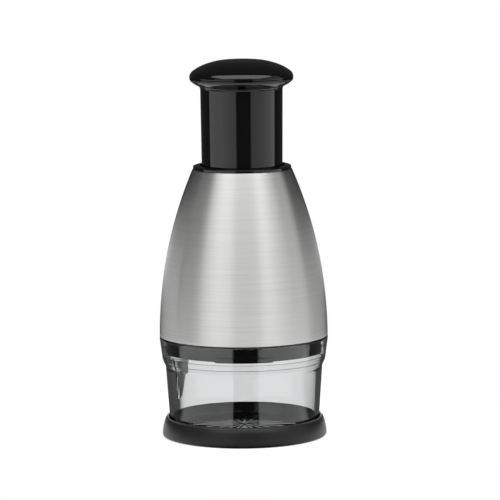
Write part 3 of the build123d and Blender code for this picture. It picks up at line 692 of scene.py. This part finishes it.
# Pan head screws with a cross recess, three in the ring and three in the deck.
screw = {
    "headRadius": 2.0, "headHeight": 1.6, "shankRadius": 1.25, "coreRadius": 0.95, "length": 14.0,
    "plain": 1.0, "threadStart": 1.2, "threadEnd": 12.6, "pitch": 1.0, "threads": 11,
    "slotLength": 2.8, "slotWidth": 0.6, "slotDepth": 0.85, "count": 3, "firstAngle": -30,
}
screwPlaces = {"ringScrews": (43.4, 59.5), "deckScrews": (37.0, 108.3)}  # circle and seat


def makeScrews(name):
    circle, seat = screwPlaces[name]
    points = outline((0, -screw["headHeight"]), (screw["headRadius"], -screw["headHeight"], 0.6),
                     (screw["headRadius"], 0, 0.1), (screw["shankRadius"], 0),
                     (screw["shankRadius"], screw["plain"]))
    for turnNumber in range(screw["threads"]):
        low = screw["threadStart"] + turnNumber * screw["pitch"]
        points += [Vector((screw["coreRadius"], low)), Vector((screw["coreRadius"], low + 0.35)),
                   Vector((screw["shankRadius"], low + 0.6))]
    points += [Vector((screw["coreRadius"], screw["threadEnd"])), Vector((0, screw["length"]))]
    one = turnPiece(name, points, zincSteel, 24)
    slots = []
    for size in ((screw["slotLength"], screw["slotWidth"]), (screw["slotWidth"], screw["slotLength"])):
        work = bmesh.new()
        bmesh.ops.create_cube(work, size=1)
        bmesh.ops.scale(work, vec=(size[0] * mm, size[1] * mm, 2 * screw["slotDepth"] * mm), verts=work.verts)
        bmesh.ops.translate(work, vec=(0, 0, -screw["headHeight"] * mm), verts=work.verts)
        slots.append(objectFrom(work, "slot"))
    cutOrUnite(one, slots, "DIFFERENCE")
    one.data.transform(Matrix.Translation((circle * mm, 0, seat * mm)))
    return repeatPiece(one, screw["count"], screw["firstAngle"], zincSteel)


settle(makeScrews("ringScrews"), "housing", "ring_screws")
settle(makeScrews("deckScrews"), "housing", "deck_screws")

# Parts whose solids already have the right shape, with the finish each gets.
rightShapes = [
    ("lower_ring", "lowerRing", "housing", "black_gloss", polishedAbs),
    ("wiper_retainer", "wiperRetainer", "housing", "black_gloss", polishedAbs),
    ("inner_hood", "innerHood", "housing", "black_moulding", plainAbs),
    ("spring_deck", "springDeck", "housing", "black_moulding", plainAbs),
    ("rod_bush", "rodBush", "housing", "bush_white", whiteAcetal),
    ("index_crown", "indexCrown", "housing", "bush_white", whiteAcetal),
    ("stop_bumper", "stopBumper", "housing", "bumper_rubber", nitrile),
    ("rod_washer", "rodWasher", "plunger", "screw_steel", zincSteel),
    ("rod_nut", "rodNut", "plunger", "screw_steel", zincSteel),
    ("spring_seat", "springSeat", "plunger", "bush_white", whiteAcetal),
    ("rod_clip", "rodClip", "plunger", "spring_wire", drawnWire),
    ("blade_carrier", "bladeCarrier", "rotor", "carrier_grey", greyPp),
    ("rotor_crown", "rotorCrown", "rotor", "bush_white", whiteAcetal),
    ("wiper_disc", "wiperDisc", "wiper", "carrier_grey", greyPp),
]
for shape in rightShapes:
    copyNode(*shape)
print("inner parts dressed")

# Camera: a long lens, a little above the knob, tilted a touch to one side.
camera = {"place": (4.25, -2287.3, 417.84), "pitch": 82.401, "roll": -0.537, "lens": 275.346,
          "sensor": 36}
cameraData = bpy.data.cameras.new("camera")
cameraData.lens = camera["lens"]
cameraData.sensor_width = camera["sensor"]
cameraObject = newObject("camera", cameraData)
cameraObject.matrix_world = (Matrix.Translation(Vector(camera["place"]) * mm)
                             @ Matrix.Rotation(math.radians(camera["pitch"]), 4, "X")
                             @ Matrix.Rotation(math.radians(camera["roll"]), 4, "Z"))
scene.camera = cameraObject


def emptyTree(holder):
    holder.use_nodes = True
    holder.node_tree.nodes.clear()
    return holder.node_tree


# Pale floor: white to the eye, with the object's soft shadow near it. Each edge is where a level
# starts to change and where it stops, with the level before and after. Lengths are in millimetres.
# Angles are in degrees, of the wedges from their middle and of the sides from the front.
floor = {
    "radius": 450, "middle": -150, "drop": 0.2, "ownLight": 0.62, "dark": 0.09,
    "leftLevel": 0.85, "rightLevel": 0.9, "blend": 0.05,  # radians to each side of the front
    "wedgeMiddle": 2, "behind": (-20, 0),
    "sweepLeft": (39.3, 0.104), "sweepRight": (48, 0.2),  # half width and how fast it widens backwards
}
floorEdges = {
    "shadow": (90, 200, 0, 1),
    # The next two edges place a painted shadow on the floor in front of the base, which only gloss sees.
    "nearReach": (62, 80, 1, 0),
    "paintedShadeWedge": (8, 62, 0.05, 1),
    "wedge": (14.5, 17.5, 0.02, 1),
    "sides": (84, 96, 1, floor["dark"]),
    "backSweep": (-2, 4, 1, floor["dark"]),
    "frontSweep": (-100, -60, 1, 0),
    "sideSweepStart": (80, 100, 0, 1),
    "sideSweepWidth": (45, 55, 1, 0),
}
grey = (0.8, 0.8, 0.8, 1)
work = bmesh.new()
bmesh.ops.create_circle(work, cap_ends=True, radius=floor["radius"] * mm, segments=96)
bmesh.ops.translate(work, vec=(0, floor["middle"] * mm, 0), verts=work.verts)
floorObject = objectFrom(work, "floor")
floorObject.location.z = -floor["drop"] * mm
floorPaint = bpy.data.materials.new("paleFloor")
tree = emptyTree(floorPaint)
place = addNode(tree, "ShaderNodeTexCoord").outputs["Object"]
distance = addNode(tree, "ShaderNodeVectorMath", "LENGTH", (place,)).outputs["Value"]
across, along, _ = addNode(tree, "ShaderNodeSeparateXYZ", None, (place,)).outputs
toLeft = addNode(tree, "ShaderNodeMath", "MULTIPLY", (across, -1.0))
forward = addNode(tree, "ShaderNodeMath", "MULTIPLY", (along, -1.0))
azimuth = addNode(tree, "ShaderNodeMath", "ARCTAN2", (across, forward))
off = addNode(tree, "ShaderNodeMath", "SUBTRACT", (azimuth, math.radians(floor["wedgeMiddle"])))
fromWedge = addNode(tree, "ShaderNodeMath", "ABSOLUTE", (off,))
pastSides = []
for key, sideways in (("sweepLeft", toLeft), ("sweepRight", across)):
    halfWidth, widening = floor[key]
    edge = addNode(tree, "ShaderNodeMath", "MULTIPLY_ADD", (along, widening, halfWidth * mm))
    pastSides.append(addNode(tree, "ShaderNodeMath", "SUBTRACT", (sideways, edge)))
measured = {
    "shadow": distance, "nearReach": distance, "paintedShadeWedge": fromWedge, "wedge": fromWedge,
    "sides": addNode(tree, "ShaderNodeMath", "ABSOLUTE", (azimuth,)),
    "backSweep": addNode(tree, "ShaderNodeMath", "MAXIMUM", (pastSides[0], pastSides[1])),
    "frontSweep": along,
    "sideSweepStart": addNode(tree, "ShaderNodeMath", "ABSOLUTE", (across,)),
    "sideSweepWidth": addNode(tree, "ShaderNodeMath", "ABSOLUTE", (along,)),
}
level = {}
for key, (start, end, before, after) in floorEdges.items():
    scale = math.radians(1) if key in ("paintedShadeWedge", "wedge", "sides") else mm
    level[key] = addNode(tree, "ShaderNodeMapRange", {"interpolation_type": "SMOOTHSTEP"}, {
        "Value": measured[key], "From Min": start * scale, "From Max": end * scale,
        "To Min": before, "To Max": after})
path = addNode(tree, "ShaderNodeLightPath").outputs

# What the eye and soft gloss see: white far off, lit and shadowed near the object, and in gloss a painted
# shadow, a dark wedge right in front of the base.
glow = addNode(tree, "ShaderNodeEmission", None, {"Strength": floor["ownLight"]})
matt = addNode(tree, "ShaderNodeBsdfDiffuse", None, {"Color": grey})
lit = addNode(tree, "ShaderNodeAddShader", None, (glow, matt))
# Painted shadow: near the base and in front of it, glossy rays see the floor dark.
paintedShadeInGloss = addNode(tree, "ShaderNodeEmission", None, {"Strength": level["paintedShadeWedge"]})
paintedShadeMask = addNode(tree, "ShaderNodeMath", "MULTIPLY", (level["nearReach"], path["Is Glossy Ray"]))
near = addNode(tree, "ShaderNodeMixShader", None, (paintedShadeMask, lit, paintedShadeInGloss))
white = addNode(tree, "ShaderNodeEmission")
seen = addNode(tree, "ShaderNodeMixShader", None, (level["shadow"], near, white))
eyeOrGloss = addNode(tree, "ShaderNodeMath", "MAXIMUM", (path["Is Camera Ray"], path["Is Glossy Ray"]))
anyEye = addNode(tree, "ShaderNodeMath", "MAXIMUM", (eyeOrGloss, path["Is Transmission Ray"]))
plain = addNode(tree, "ShaderNodeBsdfDiffuse", None, {"Color": grey})
both = addNode(tree, "ShaderNodeMixShader", None, (anyEye, plain, seen))

# What shows straight through the cup: a white sweep behind, in front and to the sides.
behind = addNode(tree, "ShaderNodeMapRange", None, {
    "Value": along, "From Min": floor["behind"][0] * mm, "From Max": floor["behind"][1] * mm,
    "To Min": floor["dark"]})
backSweep = addNode(tree, "ShaderNodeMath", "MULTIPLY", (level["backSweep"], behind))
sideSweep = addNode(tree, "ShaderNodeMath", "MULTIPLY", (level["sideSweepStart"], level["sideSweepWidth"]))
otherSweeps = addNode(tree, "ShaderNodeMath", "MAXIMUM", (level["frontSweep"], sideSweep))
sweepLevel = addNode(tree, "ShaderNodeMath", "MAXIMUM", (backSweep, otherSweeps))
throughCup = addNode(tree, "ShaderNodeEmission", None, {"Strength": sweepLevel})
noGloss = addNode(tree, "ShaderNodeMath", "LESS_THAN", (path["Glossy Depth"], 0.5))
straight = addNode(tree, "ShaderNodeMath", "MULTIPLY", (path["Is Transmission Ray"], noGloss))
cleared = addNode(tree, "ShaderNodeMixShader", None, (straight, both, throughCup))

# What is mirrored inside the cup, and in gloss that mirrors gloss.
sideLevel = addNode(tree, "ShaderNodeMapRange", None, {
    "Value": azimuth, "From Min": -floor["blend"], "From Max": floor["blend"],
    "To Min": floor["leftLevel"], "To Max": floor["rightLevel"]})
frontOnly = addNode(tree, "ShaderNodeMath", "MULTIPLY", (level["wedge"], level["sides"]))
mirroredLevel = addNode(tree, "ShaderNodeMath", "MULTIPLY", (sideLevel, frontOnly))
mirrored = addNode(tree, "ShaderNodeEmission", None, {"Strength": mirroredLevel})
glossBefore = addNode(tree, "ShaderNodeMath", "GREATER_THAN", (path["Glossy Depth"], 0.5))
sharpRay = addNode(tree, "ShaderNodeMath", "MAXIMUM", (path["Is Singular Ray"], path["Is Transmission Ray"]))
sharpGloss = addNode(tree, "ShaderNodeMath", "MULTIPLY", (glossBefore, sharpRay))
secondGloss = addNode(tree, "ShaderNodeMath", "GREATER_THAN", (path["Glossy Depth"], 1.5))
inMirror = addNode(tree, "ShaderNodeMath", "MAXIMUM", (sharpGloss, secondGloss))
result = addNode(tree, "ShaderNodeMixShader", None, (inMirror, cleared, mirrored))
addNode(tree, "ShaderNodeOutputMaterial", None, (result,))
floorObject.data.materials.append(floorPaint)
floorPaint.cycles.emission_sampling = "NONE"

# Studio: white behind the object to the eye and straight through the cup. Everything mirrored sees
# soft lamps in a dim room. Each lamp reaches between two azimuths from the front, to the right, and
# two elevations, in degrees, and its level runs from the first azimuth to the second.
lamps = {
    "left": {"azimuths": (-61, -17), "elevations": (-55, 26), "levels": (0.5, 0.48)},
    "leftMiddle": {"azimuths": (-61, -17), "elevations": (-14, -3), "levels": (1.25, 0.85)},
    "leftSide": {"azimuths": (-101, -60), "elevations": (-14, -4), "levels": (1.1, 1.25)},
    "leftBack": {"azimuths": (-150, -104), "elevations": (-45, -17), "levels": (0.3, 0.3)},
    "right": {"azimuths": (27, 65), "elevations": (-60, 50), "levels": (0.38, 0.38)},
    "rightMiddle": {"azimuths": (27, 65), "elevations": (-14, -3), "levels": (0.72, 0.98)},
    "rightSide": {"azimuths": (64, 104), "elevations": (-14, -3), "levels": (0.98, 1.35)},
    "rightUpper": {"azimuths": (64, 100), "elevations": (-40, 40), "levels": (0.5, 0.5)},
    "rightBack": {"azimuths": (104, 150), "elevations": (-45, -17), "levels": (0.3, 0.3)},
}
panel = {"halfWidth": 1.05, "near": 0.0, "far": 1.15, "soft": 0.05, "level": 2.4}  # edges at height 1
backdrop = {"azimuths": (-6, 11), "elevations": (-22, 22), "levels": (1.0, 1.0)}
studio = {"lampSoft": 3, "room": 0.05, "beyondBackdrop": 0.09}
world = bpy.data.worlds.new("studio")
scene.world = world
tree = emptyTree(world)
way = addNode(tree, "ShaderNodeTexCoord").outputs["Generated"]
across, along, upright = addNode(tree, "ShaderNodeSeparateXYZ", None, (way,)).outputs
forward = addNode(tree, "ShaderNodeMath", "MULTIPLY", (along, -1.0))
azimuth = addNode(tree, "ShaderNodeMath", "ARCTAN2", (across, forward))
backAzimuth = addNode(tree, "ShaderNodeMath", "ARCTAN2", (across, along))
elevation = addNode(tree, "ShaderNodeMath", "ARCSINE", (upright,))


# 1 between two values, fading to 0 past them.
def between(value, low, high, soft):
    half = (high - low) / 2
    off = addNode(tree, "ShaderNodeMath", "SUBTRACT", (value, (low + high) / 2))
    far = addNode(tree, "ShaderNodeMath", "ABSOLUTE", (off,))
    return addNode(tree, "ShaderNodeMapRange", {"interpolation_type": "SMOOTHSTEP"}, {
        "Value": far, "From Min": half, "From Max": half + soft, "To Min": 1.0, "To Max": 0.0})


def lampLight(lamp, azimuthFrom):
    start, end = map(math.radians, lamp["azimuths"])
    low, high = map(math.radians, lamp["elevations"])
    soft = math.radians(studio["lampSoft"])
    shape = addNode(tree, "ShaderNodeMath", "MULTIPLY", (
        between(azimuthFrom, start, end, soft), between(elevation, low, high, soft)))
    lampLevel = addNode(tree, "ShaderNodeMapRange", None, {
        "Value": azimuthFrom, "From Min": start, "From Max": end,
        "To Min": lamp["levels"][0], "To Max": lamp["levels"][1]})
    return addNode(tree, "ShaderNodeMath", "MULTIPLY", (shape, lampLevel))


mirrored = studio["room"]
for lamp in lamps.values():
    mirrored = addNode(tree, "ShaderNodeMath", "MAXIMUM", (lampLight(lamp, azimuth), mirrored))
upward = addNode(tree, "ShaderNodeMath", "MAXIMUM", (upright, 0.01))
panelX = addNode(tree, "ShaderNodeMath", "DIVIDE", (across, upward))
panelY = addNode(tree, "ShaderNodeMath", "DIVIDE", (forward, upward))
overhead = addNode(tree, "ShaderNodeMath", "MULTIPLY", (
    between(panelX, -panel["halfWidth"], panel["halfWidth"], panel["soft"]),
    between(panelY, panel["near"], panel["far"], panel["soft"])))
panelLight = addNode(tree, "ShaderNodeMath", "MULTIPLY", (overhead, panel["level"]))
mirrored = addNode(tree, "ShaderNodeMath", "MAXIMUM", (panelLight, mirrored))
path = addNode(tree, "ShaderNodeLightPath").outputs
noGloss = addNode(tree, "ShaderNodeMath", "LESS_THAN", (path["Glossy Depth"], 0.5))
through = addNode(tree, "ShaderNodeMath", "MULTIPLY", (path["Is Transmission Ray"], noGloss))
throughLevel = addNode(tree, "ShaderNodeMath", "MULTIPLY", (through, lampLight(backdrop, backAzimuth)))
straight = addNode(tree, "ShaderNodeMath", "MAXIMUM", (path["Is Camera Ray"], throughLevel))
besideCup = addNode(tree, "ShaderNodeMath", "MULTIPLY", (through, studio["beyondBackdrop"]))
mirrored = addNode(tree, "ShaderNodeMath", "MAXIMUM", (besideCup, mirrored))
strength = addNode(tree, "ShaderNodeMapRange", None, {"Value": straight, "To Min": mirrored, "To Max": 1.0})
sky = addNode(tree, "ShaderNodeBackground", None, {"Color": (1, 1, 1, 1), "Strength": strength})
addNode(tree, "ShaderNodeOutputWorld", None, (sky,))


# Glowing card that stands between two heights over the points it is given, in millimetres.
def makeCard(name, points, heights, glowLevel):
    work = bmesh.new()
    columns = [[work.verts.new((x * mm, y * mm, h * mm)) for h in heights] for x, y in points]
    for one, other in zip(columns, columns[1:]):
        work.faces.new((one[0], other[0], other[1], one[1]))
    obj = objectFrom(work, name)
    paint = bpy.data.materials.new(name)
    cardTree = emptyTree(paint)
    glow = addNode(cardTree, "ShaderNodeEmission", None, {"Strength": glowLevel})
    addNode(cardTree, "ShaderNodeOutputMaterial", None, (glow,))
    obj.data.materials.append(paint)
    obj.visible_camera = False
    return obj


# White card behind the object, for what its gloss mirrors from there.
card = {"halfWidth": 60, "top": 104, "distance": 300}
makeCard("card", [(-card["halfWidth"], card["distance"]), (card["halfWidth"], card["distance"])],
         (0, card["top"]), 1.0)

# Low curved cards at the back on both sides, seen only in gloss: they fill the far edges of the
# bell and stay below what the knob and the tube mirror.
sideCards = {"radius": 150, "azimuths": (90, 150), "heights": (85, 125), "steps": 16,
             "levels": {"leftCard": (-1, 0.85), "rightCard": (1, 0.65)}}
firstAzimuth, lastAzimuth = map(math.radians, sideCards["azimuths"])
for name, (side, cardLevel) in sideCards["levels"].items():
    turns = [firstAzimuth + (lastAzimuth - firstAzimuth) * k / sideCards["steps"]
             for k in range(sideCards["steps"] + 1)]
    points = [(side * math.sin(a) * sideCards["radius"], -math.cos(a) * sideCards["radius"]) for a in turns]
    sideCard = makeCard(name, points, sideCards["heights"], cardLevel)
    for ray in ("diffuse", "transmission", "shadow"):
        setattr(sideCard, "visible_" + ray, False)
    sideCard.data.materials[0].cycles.emission_sampling = "NONE"
scene.view_settings.view_transform = "Standard"
print("stage set")
